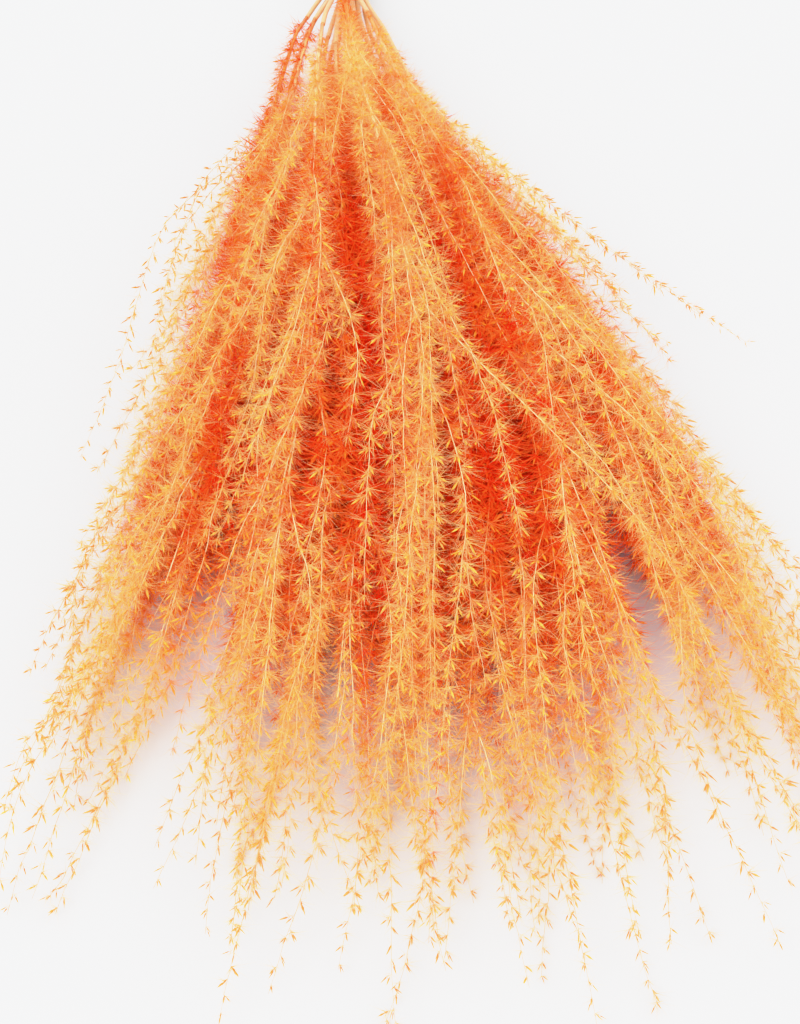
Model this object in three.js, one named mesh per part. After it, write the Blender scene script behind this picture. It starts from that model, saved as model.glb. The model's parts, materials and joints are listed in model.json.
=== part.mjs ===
// A tied bundle of pampas grass that lies on a table: stems, the raffia tie round them,
// and one plume on each stem. Millimetres, +Z up. The plumes' tips point to -Y and the
// cut stem ends to +Y, and the origin is under the middle of the bundle, on the table.
//
// The bundle is laid out as a round packing of stalks, one place for each. A cross-section
// of the bundle at any distance from the cut ends is that packing, scaled to the bundle's
// width and height there, so the stalks spread and sag together without meeting.

import * as THREE from "three";
import { mergeVertices } from "three/addons/utils/BufferGeometryUtils.js";

// Overall sizes.
const stemLength = 172; // from the longest cut end to where the first plume begins
const plumeLength = 560; // from there to the longest tip
const fanWidth = 400; // across the fan, at the distance of the longest tip
const fanHeight = 86; // over the thickest place
const tipHeight = 18; // over the fan, at the distance of the longest tip

// Stems.
const stemDiameter = 2.8;
const stemGap = 0.4; // between neighbouring stems under the tie
const cutStagger = 14; // the most that one cut end lies behind another
const cutFlare = 5; // how far the bundle's radius opens from the tie to the cut ends
const stemTwist = THREE.MathUtils.degToRad(34); // of the bundle, over the bare stems
const strayStemSpread = 9; // of the stems that leave the others at the neck, on the left
const stemSides = 8;
const stemStep = 26; // between a stem's cross-sections

// Plumes.
const plumeGap = 0.5; // between neighbouring plumes where they fill their places
const jointGap = 0.3; // between a stem and the plume on it
const startStagger = 64; // the most that one plume begins behind another
const tipStagger = 46; // the most that one tip lies behind another, beside the curve
const tipCurve = 0.09; // how much shorter the outer plumes reach, as a share
const swellShare = 0.22; // of a plume's length, over which it swells to its full girth
const tipPower = 3.4; // a higher power keeps the girth longer and blunts the tip
const plumeSides = 12;
const plumeStep = 32; // between a plume's cross-sections

// The bundle at the neck, where the plumes begin.
const neckRadius = 15;
const neckLift = 9; // of the bundle's underside over the table

// The fan of plumes.
const fanLean = 38; // of the fan's middle to the right of the stems
const leanShare = 0.62; // of the plume length, over which the fan leans
const settleShare = 0.2; // of the plume length, over which the fan comes down on the table
const undersideFlatness = 0.66; // 0 leaves the cross-section round, 1 over-flattens it
const rightWingSpread = 0.16; // of the plumes that lie apart on the right, in half widths
const leftWingSpread = 0.04;
const wingOpens = [0.25, 0.85]; // shares of the plume length where the wings start and end

// Tie.
const tieDistance = 92; // from the longest cut end to the tie's middle
const tieTurns = 6;
const strandWidth = 2.1; // of the raffia
const strandThickness = 1.5;
const tieClearance = 0.35; // between the tie and the stems
const tieSides = 40;

// Places in the packing: the middle one, then rings of six and twelve.
const placeRadius = 1 / 5;
const rings = [
  { count: 1, distance: 0 },
  { count: 6, distance: 2 * placeRadius },
  { count: 12, distance: 4 * placeRadius },
];
const outermost = 3 * placeRadius; // the places beyond this distance to one side
const goldenShare = 0.618034; // spreads staggered values evenly, in no visible order

const stemRadius = stemDiameter / 2;
const tieRadius = (stemDiameter + stemGap) / 2 / placeRadius;
const tieWidth = tieTurns * strandWidth;

const stemMaterial = { color: 0xd29a58, roughness: 0.6, metalness: 0 };
const plumeMaterial = { color: 0xee7a35, roughness: 0.95, metalness: 0 };
const tieMaterial = { color: 0xc9a978, roughness: 0.85, metalness: 0 };

const smooth = (from, to, value) => THREE.MathUtils.smoothstep(value, from, to);

// Share of the plume length at a distance from the cut ends, 0 on the bare stems.
const fanShare = (distance) => Math.max(0, (distance - stemLength) / plumeLength);

function halfWidth(distance) {
  if (distance < tieDistance) {
    return tieRadius + cutFlare * (1 - distance / tieDistance) ** 1.5;
  }
  if (distance < stemLength) {
    const share = (distance - tieDistance) / (stemLength - tieDistance);
    return tieRadius + (neckRadius - tieRadius) * share ** 1.5;
  }
  return neckRadius + (fanWidth / 2 - neckRadius) * fanShare(distance);
}

function halfHeight(distance) {
  if (distance < stemLength) {
    return halfWidth(distance);
  }
  const share = fanShare(distance);
  const straight = THREE.MathUtils.lerp(neckRadius, tipHeight / 2, share);
  const swell = (fanHeight - neckRadius - tipHeight / 2) / 2;
  return straight + swell * Math.sin(Math.PI * share ** 0.75);
}

const settled = (distance) => smooth(0, settleShare, fanShare(distance));
const flatness = (distance) => undersideFlatness * settled(distance);

// The bundle's middle line: its places sideways and upwards.
function middleLine(distance) {
  const lift = neckLift * Math.min(1, distance / stemLength) * (1 - settled(distance));
  const underside = (1 - flatness(distance)) * halfHeight(distance);
  return { x: fanLean * smooth(0, leanShare, fanShare(distance)), z: underside + lift };
}

// The left wing's stems leave the others between the tie and the neck.
function strayOffset(distance) {
  return strayStemSpread * smooth(tieDistance + tieWidth, stemLength, distance);
}

// How far a stalk of a wing lies outside its place, in half widths.
function wingOffset(wing, distance) {
  const opened = smooth(...wingOpens, fanShare(distance));
  if (wing > 0) {
    return rightWingSpread * opened;
  }
  if (wing < 0) {
    return -leftWingSpread * opened - strayOffset(distance) / halfWidth(distance);
  }
  return 0;
}

// The stalks' places in the packing, and what is particular to each stalk. The wings are
// the outermost stalks on each side, from the middle of the height down.
function stalkPlaces() {
  const places = [];
  for (const { count, distance } of rings) {
    for (let step = 0; step < count; step += 1) {
      const angle = (step / count) * 2 * Math.PI;
      const across = distance * Math.cos(angle);
      const up = distance * Math.sin(angle);
      const outward = distance / (1 - placeRadius);
      const startMix = (places.length * goldenShare) % 1;
      const endMix = (places.length * goldenShare ** 2) % 1;
      const reach = plumeLength * (1 - tipCurve * outward ** 2);
      places.push({
        across,
        up,
        cut: cutStagger * endMix,
        start: stemLength + startStagger * startMix,
        tip: stemLength + reach - tipStagger * endMix,
        wing: Math.abs(across) > outermost && up < placeRadius ? Math.sign(across) : 0,
      });
    }
  }
  return places;
}

// Moves a point of a straight stalk to its place in the bundle. The point is given by its
// offset from the stalk's own middle, as a share of the bundle's half width.
function bundlePoint(place, offset, distance) {
  const point = new THREE.Vector2(place.across + offset.x, place.up + offset.y);
  const bareShare = Math.max(0, 1 - distance / stemLength);
  point.rotateAround(new THREE.Vector2(0, 0), stemTwist * bareShare);
  point.x += wingOffset(place.wing, distance);
  point.y += flatness(distance) * (1 - point.x ** 2);
  const middle = middleLine(distance);
  return new THREE.Vector3(
    middle.x + point.x * halfWidth(distance),
    -distance,
    middle.z + point.y * halfHeight(distance),
  );
}

// A lathed solid round +Y, whose vertices are then moved one by one.
function bentLathe(profile, sides, move) {
  const solid = new THREE.LatheGeometry(profile, sides);
  solid.deleteAttribute("normal");
  solid.deleteAttribute("uv");
  const position = solid.getAttribute("position");
  for (let index = 0; index < position.count; index += 1) {
    const moved = move(position.getX(index), position.getY(index), position.getZ(index));
    position.setXYZ(index, moved.x, moved.y, moved.z);
  }
  const merged = mergeVertices(solid, 1e-5);
  merged.computeVertexNormals();
  return merged;
}

// A closed solid along a stalk's place, with a radius in half widths at each distance. It
// closes flat at its first distance, and flat or to a point at its end.
function stalkSolid(place, distances, radiusAt, sides, end) {
  const profile = distances.map((distance) => new THREE.Vector2(radiusAt(distance), distance));
  profile.unshift(new THREE.Vector2(0, distances[0]));
  profile.push(new THREE.Vector2(0, end));
  return bentLathe(profile, sides, (x, distance, z) =>
    bundlePoint(place, new THREE.Vector2(-x, z), distance),
  );
}

// Distances from start to end, with the bundle's shared cross-sections between them.
function distancesBetween(start, end, step, extra = []) {
  const shared = [...extra];
  for (let distance = 0; distance < end; distance += step) {
    shared.push(distance);
  }
  const margin = step / 4;
  const inside = shared.filter((d) => d > start + margin && d < end - margin);
  return [start, ...inside.sort((a, b) => a - b), end];
}

function stemSolid(place) {
  const tieEdges = [tieDistance - tieWidth / 2, tieDistance + tieWidth / 2];
  const end = place.start - jointGap;
  const distances = distancesBetween(place.cut, end, stemStep, tieEdges);
  return stalkSolid(place, distances, (d) => stemRadius / halfWidth(d), stemSides, end);
}

// A plume swells from the stem's radius, fills its place, and tapers to its tip.
function plumeSolid(place) {
  const base = stemRadius / halfWidth(place.start);
  const pointLength = plumeStep / 2;
  const distances = distancesBetween(place.start, place.tip - pointLength, plumeStep);
  const radiusAt = (distance) => {
    const gap = plumeGap / Math.min(halfWidth(distance), halfHeight(distance));
    const full = placeRadius - gap / 2;
    const share = (distance - place.start) / (place.tip - place.start);
    const swelling = base + (full - base) * smooth(0, swellShare, share);
    return Math.min(full, swelling) * (1 - share ** tipPower) ** 0.6;
  };
  return stalkSolid(place, distances, radiusAt, plumeSides, place.tip);
}

// The tie: turns of raffia, side by side, drawn as one ring with a ridge for each turn.
function tieSolid() {
  const inner = tieRadius + tieClearance;
  const outer = inner + strandThickness;
  const valley = inner + 0.8 * strandThickness;
  const first = tieDistance - tieWidth / 2;
  const profile = [new THREE.Vector2(inner, first + tieWidth), new THREE.Vector2(inner, first)];
  profile.push(new THREE.Vector2(valley, first));
  for (let turn = 0; turn < tieTurns; turn += 1) {
    const edge = first + turn * strandWidth;
    profile.push(new THREE.Vector2(outer, edge + 0.3 * strandWidth));
    profile.push(new THREE.Vector2(outer, edge + 0.7 * strandWidth));
    profile.push(new THREE.Vector2(valley, edge + strandWidth));
  }
  profile.push(profile[0].clone());
  return bentLathe(profile, tieSides, (x, distance, z) => {
    const middle = middleLine(distance);
    return new THREE.Vector3(middle.x - x, -distance, middle.z + z);
  });
}

function namedMesh(name, geometry, material) {
  const mesh = new THREE.Mesh(geometry, new THREE.MeshStandardMaterial(material));
  mesh.name = name;
  return mesh;
}

const bundle = new THREE.Group();
stalkPlaces().forEach((place, index) => {
  const number = String(index + 1).padStart(2, "0");
  bundle.add(namedMesh(`stem_${number}`, stemSolid(place), stemMaterial));
  bundle.add(namedMesh(`plume_${number}`, plumeSolid(place), plumeMaterial));
});
bundle.add(namedMesh("tie", tieSolid(), tieMaterial));

// The origin goes under the middle of the bundle's box, at the height of the table.
const box = new THREE.Box3().setFromObject(bundle);
const boxMiddle = box.getCenter(new THREE.Vector3());
bundle.position.set(-boxMiddle.x, -boxMiddle.y, -box.min.z);
bundle.updateMatrixWorld(true);

export default bundle;
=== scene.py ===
# A tied bundle of dyed pampas grass that lies on a pale table: straw stems, the raffia
# tie round them, and a fan of soft plumes. Each plume is a thin axis with long hanging
# racemes, and each raceme carries pairs of florets with fine silky hairs.

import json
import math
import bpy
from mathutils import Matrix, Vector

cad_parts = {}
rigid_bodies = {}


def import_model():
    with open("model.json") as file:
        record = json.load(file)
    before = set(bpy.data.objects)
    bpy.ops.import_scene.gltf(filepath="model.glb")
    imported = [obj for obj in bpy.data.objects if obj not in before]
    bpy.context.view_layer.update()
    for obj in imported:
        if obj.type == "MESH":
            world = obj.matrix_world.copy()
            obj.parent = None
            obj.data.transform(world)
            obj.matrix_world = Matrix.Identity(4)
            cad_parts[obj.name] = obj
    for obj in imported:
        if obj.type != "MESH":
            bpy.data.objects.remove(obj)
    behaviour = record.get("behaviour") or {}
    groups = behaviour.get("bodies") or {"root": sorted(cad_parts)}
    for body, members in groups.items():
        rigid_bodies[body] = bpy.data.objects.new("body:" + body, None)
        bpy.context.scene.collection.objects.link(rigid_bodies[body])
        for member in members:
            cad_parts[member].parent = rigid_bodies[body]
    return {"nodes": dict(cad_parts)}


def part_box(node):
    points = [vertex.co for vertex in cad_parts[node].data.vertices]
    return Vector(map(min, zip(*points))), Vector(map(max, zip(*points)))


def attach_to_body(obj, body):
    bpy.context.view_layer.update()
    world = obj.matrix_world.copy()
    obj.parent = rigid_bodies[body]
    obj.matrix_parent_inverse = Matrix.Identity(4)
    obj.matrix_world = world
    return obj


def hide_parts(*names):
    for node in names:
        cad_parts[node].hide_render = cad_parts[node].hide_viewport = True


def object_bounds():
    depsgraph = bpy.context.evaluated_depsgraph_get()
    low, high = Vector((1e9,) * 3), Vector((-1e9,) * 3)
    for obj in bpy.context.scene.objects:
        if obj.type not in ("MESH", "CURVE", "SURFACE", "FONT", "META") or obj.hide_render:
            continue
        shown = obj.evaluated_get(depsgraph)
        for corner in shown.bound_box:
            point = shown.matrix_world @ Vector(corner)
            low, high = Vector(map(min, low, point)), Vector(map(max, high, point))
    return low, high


bl_info = {
    "name": "Pampas Grass Bundle",
    "version": (1, 0, 0),
    "blender": (4, 5, 0),
    "location": "View3D > Sidebar > Pampas",
    "description": "Grows the plumes, stems and tie of a lying bundle of pampas grass",
    "category": "Add Mesh",
}

import bmesh
import bpy
import numpy as np
from bpy.props import FloatProperty, FloatVectorProperty, IntProperty, PointerProperty
from mathutils import Matrix, Vector

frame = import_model()
CAD_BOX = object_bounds()

MM = 0.001
GOLDEN_ANGLE = math.pi * (3 - math.sqrt(5))
UV_NAME = "OFBake"

# The colour chart that every part of a plume lies on: U runs from root to tip, and V is
# the painted light and shade, from painted deep shade inside the bundle to its lit outside,
# inside a band for each kind of part. A material slot goes with each band, in the same order.
CHART_START, CHART_END = 0.05, 0.95
CHART_SPREAD = 0.012
# the share of a band's V that the painted light and shade spans
BAND_LIGHT_SPAN = 0.25
BANDS = {"hair": 0.04, "floret": 0.37, "axis": 0.70}
PARTS = tuple(BANDS)
PAINTED_LIGHT_STOPS = (0.0, 0.35, 0.66, 1.0)  # painted light levels that colours are given for: deep shade, shade, lit, outside
FINISHES = {  # roughness, and the share of light that comes through
    "hair": (0.75, 0.64),
    "floret": (0.55, 0.35),
    "axis": (0.6, 0.15),
}

# Kinds of spikelet. Each has two sets of hairs, given by their number, length and girth as
# shares of the settings', and each set is made on a short stalk and on a long one.
FLUFFY, DEEP, SPARSE = range(3)
HAIR_SETS = {
    FLUFFY: ((11, 1.0, 1), (10, 0.95, 1)),
    DEEP: ((10, 1, 2.5), (9, 1, 2.5)),
    SPARSE: ((5, 0.7, 1), (3, 0.6, 1)),
}
STALK_SHARES = (0.3, 1.0)
VARIANTS = 2 * len(STALK_SHARES)

# How racemes grow and hang.
MAIN_POINTS = 22  # along a main axis
MAIN_END = 0.8  # share of the plume that the main axis runs through
RACEME_POINTS = 19
RACEME_TAPER = 0.35  # width at the tip as a share of the base
ATTACH = (0.01, 0.72)  # shares of the plume where the first and last racemes leave it
TIP_SHARES = (0.93, 1.14)  # a raceme ends at most at a share drawn between these
SLUMP = 26 * MM  # how far a high raceme leans out at its tip, at the fan's sides
TIP_DRIFT = (11 * MM, 4 * MM, 4 * MM)  # how far tips stray aside, along and up
KINK = 0.3 * MM
TIP_ROOM = 16 * MM  # how far paths may run past the longest tip
EDGE_SOFTNESS = (14 * MM, 20 * MM, 10 * MM)  # how far inside the size paths are drawn in
TABLE_SOFTNESS = 5 * MM  # under this height, paths are pressed towards the table
HAIR_SOFTNESS = 2.5 * MM  # and under this one, so are florets and hairs

# The dye on a stem: where it begins and is full, from the longest cut end, and its share.
DYE_START, DYE_FULL, DYE_MOST = 0.03, 0.19, 0.8

# Seeds of the random draws.
PLAN_SEED, GROW_SEED, STEM_SEED, SPIKELET_SEED = 1000, 2000, 3000, 7

# Racemes that stand away from the others: the plume they grow on, the shares of its length
# where they leave it and end, how far aside and up their tips lie in millimetres, and how
# soon they reach there. The bare ones have lost their florets.
STRAYS = (
    ("plume_14", 0.14, 0.68, -37, 4, 0.45, "sparse"),
    ("plume_14", 0.12, 0.52, -24, 10, 0.5, "sparse"),
    ("plume_13", 0.14, 0.56, -40, -8, 0.6, "sparse"),
    ("plume_15", 0.14, 0.44, -20, 2, 0.6, "sparse"),
    ("plume_08", 0.12, 0.49, 74, -4, 1.1, "sparse"),
    ("plume_08", 0.12, 0.47, 71, -4, 1.1, "sparse"),
    ("plume_08", 0.28, 0.50, 32, 4, 1.0, "sparse"),
    ("plume_09", 0.16, 0.42, 26, 6, 0.9, "sparse"),
    ("plume_11", 0.54, 0.98, 96, 4, 0.8, "full"),
    ("plume_10", 0.50, 0.94, 62, 8, 0.7, "full"),
    ("plume_10", 0.36, 0.80, 40, 6, 0.8, "full"),
    ("plume_09", 0.44, 0.84, 40, 8, 0.8, "full"),
    ("plume_11", 0.22, 0.62, 34, -2, 1.0, "full"),
    ("plume_12", 0.28, 0.66, -44, -8, 0.9, "full"),
    ("plume_12", 0.40, 0.74, -30, -6, 1.0, "full"),
    ("plume_13", 0.32, 0.68, -34, -2, 0.9, "full"),
    ("plume_14", 0.48, 0.53, 22, 26, 1.0, "bare"),
    ("plume_08", 0.72, 0.98, -22, 8, 1.0, "bare"),
)


# Sizes and colours that a user would change.


def painted_light_colours(name, *colours):
    """A part's colours, red, green and blue, at each level of painted light and shade:
    deep shade, shade, lit, and the outside with the thin tips.
    """
    return FloatVectorProperty(
        name=name,
        description="Colours from deep in the bundle to its outside",
        default=colours,
        size=(len(PAINTED_LIGHT_STOPS), 3),
        min=0,
        max=1,
    )


class PlumeSettings(bpy.types.PropertyGroup):
    """Sizes and colours of the plumes"""

    racemes: IntProperty(
        name="Racemes", description="Hanging branches on each plume", default=25, min=4
    )
    tresses: IntProperty(
        name="Tresses", description="Groups that a plume's racemes hang in", default=6, min=1
    )
    raceme_shortest: FloatProperty(
        name="Shortest raceme",
        description="Length of the shortest raceme as a share of its plume",
        default=0.28,
        subtype="FACTOR",
    )
    raceme_longest: FloatProperty(
        name="Longest raceme",
        description="Length of the longest raceme as a share of its plume",
        default=0.44,
        subtype="FACTOR",
    )
    pair_spacing: FloatProperty(
        name="Pair spacing",
        description="Distance between the pairs of florets along a raceme",
        default=5.0 * MM,
        unit="LENGTH",
    )
    floret_length: FloatProperty(
        name="Floret length", description="From base to point", default=4.8 * MM, unit="LENGTH"
    )
    floret_width: FloatProperty(
        name="Floret width", description="At its widest", default=1.0 * MM, unit="LENGTH"
    )
    stalk_length: FloatProperty(
        name="Stalk length", description="Of a long stalk", default=2.6 * MM, unit="LENGTH"
    )
    hair_length: FloatProperty(
        name="Hair length", description="Of the longest hairs", default=12.0 * MM, unit="LENGTH"
    )
    hair_width: FloatProperty(
        name="Hair width", description="At the root", default=0.19 * MM, unit="LENGTH"
    )
    axis_width: FloatProperty(
        name="Main axis width",
        description="Across a plume's main axis at its base",
        default=2.4 * MM,
        unit="LENGTH",
    )
    raceme_width: FloatProperty(
        name="Raceme axis width", description="At its base", default=0.5 * MM, unit="LENGTH"
    )
    # The colours below paint light and shade: each runs from the painted deep shade inside the
    # bundle, through painted shade and painted light, to the outside and thin tips.
    hair_root: painted_light_colours(
        "Hair root", (0.96, 0.06, 0.01), (1.0, 0.25, 0.03), (1.0, 0.68, 0.24), (1.0, 0.60, 0.16)
    )
    hair_tip: painted_light_colours(
        "Hair tip", (0.96, 0.10, 0.01), (1.0, 0.46, 0.08), (1.0, 0.93, 0.60), (1.0, 0.86, 0.42)
    )
    floret_root: painted_light_colours(
        "Floret root", (0.9, 0.06, 0.01), (0.95, 0.2, 0.02), (0.98, 0.44, 0.05), (0.84, 0.21, 0.04)
    )
    floret_tip: painted_light_colours(
        "Floret tip", (0.95, 0.14, 0.01), (1.0, 0.42, 0.03), (1.0, 0.72, 0.10), (0.94, 0.47, 0.10)
    )
    axis_root: painted_light_colours(
        "Axis root", (0.90, 0.10, 0.02), (0.90, 0.34, 0.09), (1.0, 0.82, 0.46), (0.92, 0.52, 0.20)
    )
    axis_tip: painted_light_colours(
        "Axis tip", (0.90, 0.10, 0.02), (0.95, 0.38, 0.08), (1.0, 0.82, 0.44), (0.86, 0.36, 0.10)
    )


class StemSettings(bpy.types.PropertyGroup):
    """Sizes and colours of the stems"""

    sides: IntProperty(name="Sides", description="Round a stem", default=16, min=8)
    hollow: FloatProperty(
        name="Hollow", description="Depth of the pith in a cut end", default=0.7 * MM, unit="LENGTH"
    )
    straw: FloatVectorProperty(
        name="Straw", description="At the cut ends", default=(0.62, 0.41, 0.19), subtype="COLOR"
    )
    tint: FloatVectorProperty(
        name="Dye tint", description="Near the plumes", default=(0.74, 0.33, 0.12), subtype="COLOR"
    )


class TieSettings(bpy.types.PropertyGroup):
    """Sizes and colour of the tie"""

    turns: IntProperty(name="Turns", description="Of the strand round the stems", default=6, min=1)
    thickness: FloatProperty(
        name="Thickness", description="Of the strand", default=1.3 * MM, unit="LENGTH"
    )
    raffia: FloatVectorProperty(
        name="Raffia", description="Strand colour", default=(0.58, 0.42, 0.22), subtype="COLOR"
    )


class StageSettings(bpy.types.PropertyGroup):
    """The camera's place and the table's colour"""

    elevation: FloatProperty(
        name="Camera elevation",
        description="Above the table",
        default=math.radians(50),
        subtype="ANGLE",
    )
    distance: FloatProperty(
        name="Camera distance", description="From its target", default=0.68, unit="LENGTH"
    )
    lens: FloatProperty(name="Lens", description="Focal length", default=59.8, unit="CAMERA")
    floor: FloatVectorProperty(
        name="Table", description="Table colour", default=(0.585, 0.60, 0.612), subtype="COLOR"
    )


# Curves and cross-sections.


def smooth(start, end, value):
    """Rises evenly from 0 at the start to 1 at the end, with soft corners."""
    share = np.clip((np.asarray(value, float) - start) / (end - start), 0, 1)
    return share * share * (3 - 2 * share)


def lerp(a, b, share):
    """The value at a share of the way from a to b."""
    return a + (b - a) * share


class Sections:
    """The cross-sections of a CAD stalk solid, from its cut end towards its tip."""

    def __init__(self, node):
        mesh = frame["nodes"][node].data
        points = np.empty(len(mesh.vertices) * 3, np.float32)
        mesh.vertices.foreach_get("co", points)
        points = points.reshape(-1, 3).astype(float)
        places = np.round(points[:, 1], 5)
        rows = []
        for place in np.unique(places)[::-1]:
            ring = points[places == place]
            low, high = ring.min(0), ring.max(0)
            rows.append([place, *((low + high) / 2)[[0, 2]], *((high - low) / 2)[[0, 2]]])
        rows = np.array(rows)
        self.y, self.x, self.z, self.half_x, self.half_z = rows.T
        self.share = (self.y[0] - self.y) / (self.y[0] - self.y[-1])

    @property
    def length(self):
        return self.y[0] - self.y[-1]

    def read(self, column, share):
        """A column's value at a share of the stalk's length."""
        return np.interp(share, self.share, column)

    def middle(self, share):
        """Points of the middle line. Past the tip it goes straight on."""
        share = np.asarray(share, float)
        inside = np.clip(share, 0, 1)
        points = np.stack([self.read(c, inside) for c in (self.x, self.y, self.z)], -1)
        before = np.array([self.read(c, 0.9) for c in (self.x, self.y, self.z)])
        tip = np.array([self.x[-1], self.y[-1], self.z[-1]])
        past = (share - inside)[..., None]
        return points + past * (tip - before) / 0.1


PLUMES = sorted(n for n in frame["nodes"] if n.startswith("plume_"))
STEMS = sorted(n for n in frame["nodes"] if n.startswith("stem_"))
SECTIONS = {name: Sections(name) for name in PLUMES + STEMS}
PLUMES_START = max(SECTIONS[name].y[0] for name in PLUMES)
PLUMES_END = min(SECTIONS[name].y[-1] for name in PLUMES)


def beside(points):
    """0 over the middle of the bundle, and 1 at its sides."""
    return np.clip(np.abs(points[:, 0]) / CAD_BOX[1].x, 0, 1)


def fan_share(points):
    """0 where the plumes begin, 1 at the longest tip."""
    return (PLUMES_START - points[:, 1]) / (PLUMES_START - PLUMES_END)


class Light:
    """How much light comes to a place in the fan, past the spikelets over and beside it.
    Its tone paints this light and shade into the plumes' colours.
    """

    cell = 6 * MM
    margin = 50 * MM  # of the grid of cells round the bundle
    dense = 5.0  # spikelets in a row of cells that take away most of the light
    slants = (-3, -1, 0, 1, 3)  # cells to one side for each cell up
    sideways = 0.32  # what light from a side adds
    dark, bright = 0.09, 0.84  # the light at the darkest painted shade and at the outside's painted light
    outside = 0.83  # the painted light on the outside
    neck = 0.3  # the share of the painted tone that is left where the plumes begin, darker there
    neck_end = 0.26  # the fan's share where all of it is there
    tips = (0.6, 0.98)  # the fan's shares where tips begin to be thin and are all thin
    tip_share = 0.85  # how much of a tip's painted tone is the thin tips' paler one
    side_tips = 0.2  # how much sooner tips are thin at the sides

    def __init__(self, places):
        self.low = np.array(CAD_BOX[0]) - self.margin
        room = np.array(CAD_BOX[1]) + self.margin - self.low
        self.counts = np.ceil(room / self.cell).astype(int)
        high = self.low + self.counts * self.cell
        filled, _ = np.histogramdd(places, bins=self.counts, range=np.stack([self.low, high], -1))
        for axis in range(3):
            filled = (np.roll(filled, 1, axis) + 2 * filled + np.roll(filled, -1, axis)) / 4
        self.light = sum(self.passing(filled, slant) for slant in self.slants) / len(self.slants)
        left = np.exp(-np.cumsum(filled, axis=0) / self.dense)
        right = np.exp(-np.cumsum(filled[::-1], axis=0)[::-1] / self.dense)
        self.light += self.sideways * np.maximum(left, right)

    def passing(self, filled, slant):
        """The light that comes down to each cell at a slant."""
        light = np.empty_like(filled)
        met = np.zeros(filled.shape[:2])
        for level in reversed(range(filled.shape[2])):
            light[:, :, level] = np.exp(-(met + filled[:, :, level] / 2) / self.dense)
            met = np.roll(met + filled[:, :, level] * math.hypot(1, slant), slant, axis=0)
            if slant:
                met[: slant if slant > 0 else None] *= slant < 0
                met[slant if slant < 0 else len(met) :] = 0
        return light

    def tone(self, points):
        """The tone painted into a place's colours: 0 for painted deep shade where little light
        comes deep in the fan, higher on its lit outside, darker where the plumes begin, and
        nearly 1, paler and more golden, at the thin tips.
        """
        cells = ((points - self.low) / self.cell).astype(int)
        cells = np.clip(cells, 0, self.counts - 1)
        lit = self.light[tuple(cells.T)]
        share = fan_share(points)
        neck = lerp(self.neck, 1.0, smooth(0.0, self.neck_end, share))
        tone = self.outside * smooth(self.dark, self.bright, lit) * neck
        tips = smooth(*self.tips, share + self.side_tips * beside(points) ** 2)
        return lerp(tone, 1.0, self.tip_share * tips)


# Meshes.


def new_object(name, data):
    """An object in the scene, at the origin."""
    obj = bpy.data.objects.new(name, data)
    bpy.context.scene.collection.objects.link(obj)
    return obj


def evaluated_mesh(obj, name):
    """The mesh of an object after its modifiers. The object is then dropped."""
    depsgraph = bpy.context.evaluated_depsgraph_get()
    mesh = bpy.data.meshes.new_from_object(obj.evaluated_get(depsgraph))
    mesh.name = name
    drop(obj)
    return mesh


def drop(obj):
    """Removes an object and its mesh."""
    data = obj.data
    bpy.data.objects.remove(obj)
    bpy.data.meshes.remove(data)


def tubes(name, paths, sides, group):
    """Closed round tubes along paths. Each path has its points, radii and tones,
    which carry the painted light and shade on a plume's axes.
    """
    points, radii, light_and_dye_tones = (np.concatenate(column) for column in zip(*paths))
    along = np.concatenate([np.linspace(0, 1, len(path[0])) for path in paths])
    mesh = bpy.data.meshes.new(name)
    mesh.vertices.add(len(points))
    mesh.vertices.foreach_set("co", points.astype(np.float32).ravel())
    ends = np.cumsum([len(path[0]) for path in paths]) - 1
    starts = np.setdiff1d(np.arange(len(points)), ends)
    mesh.edges.add(len(starts))
    edges = np.stack([starts, starts + 1], -1).astype(np.int32)
    mesh.edges.foreach_set("vertices", edges.ravel())
    for label, values in (("width", radii), ("along", along), ("tone", light_and_dye_tones)):
        set_numbers(mesh, label, "FLOAT", values)
    obj = new_object(name, mesh)
    modifier = obj.modifiers.new("Tubes", "NODES")
    modifier.node_group = group
    modifier[group.interface.items_tree["Sides"].identifier] = sides
    return evaluated_mesh(obj, name)


def tube_group():
    """A node group that makes closed round tubes along a mesh of edges."""
    group = bpy.data.node_groups.new("Round Tubes", "GeometryNodeTree")
    face = group.interface
    face.new_socket("Paths", in_out="INPUT", socket_type="NodeSocketGeometry")
    face.new_socket("Sides", in_out="INPUT", socket_type="NodeSocketInt")
    face.new_socket("Tubes", in_out="OUTPUT", socket_type="NodeSocketGeometry")
    nodes, link = group.nodes, group.links.new
    given = nodes.new("NodeGroupInput")
    result = nodes.new("NodeGroupOutput")
    curves = nodes.new("GeometryNodeMeshToCurve")
    circle = nodes.new("GeometryNodeCurvePrimitiveCircle")
    circle.inputs["Radius"].default_value = 1
    width = nodes.new("GeometryNodeInputNamedAttribute")
    width.data_type = "FLOAT"
    width.inputs["Name"].default_value = "width"
    skin = nodes.new("GeometryNodeCurveToMesh")
    skin.inputs["Fill Caps"].default_value = True
    link(given.outputs["Paths"], curves.inputs[0])
    link(given.outputs["Sides"], circle.inputs["Resolution"])
    link(curves.outputs[0], skin.inputs["Curve"])
    link(circle.outputs[0], skin.inputs["Profile Curve"])
    link(width.outputs["Attribute"], skin.inputs["Scale"])
    link(skin.outputs[0], result.inputs[0])
    return group


def set_numbers(mesh, name, kind, values):
    """Gives each vertex its value of a new attribute."""
    attribute = mesh.attributes.new(name, kind, "POINT")
    attribute.data.foreach_set("value", np.ascontiguousarray(values).ravel())


def chart_places(along, angle, band):
    """Places on the colour chart for points along a part, spread so that faces keep a width."""
    u = lerp(CHART_START, CHART_END, along) + CHART_SPREAD * np.cos(angle)
    v = BANDS[band] + CHART_SPREAD * np.sin(angle)
    return u, v


# A spikelet: one floret and the hairs round its base, along +Z from the origin.


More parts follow.
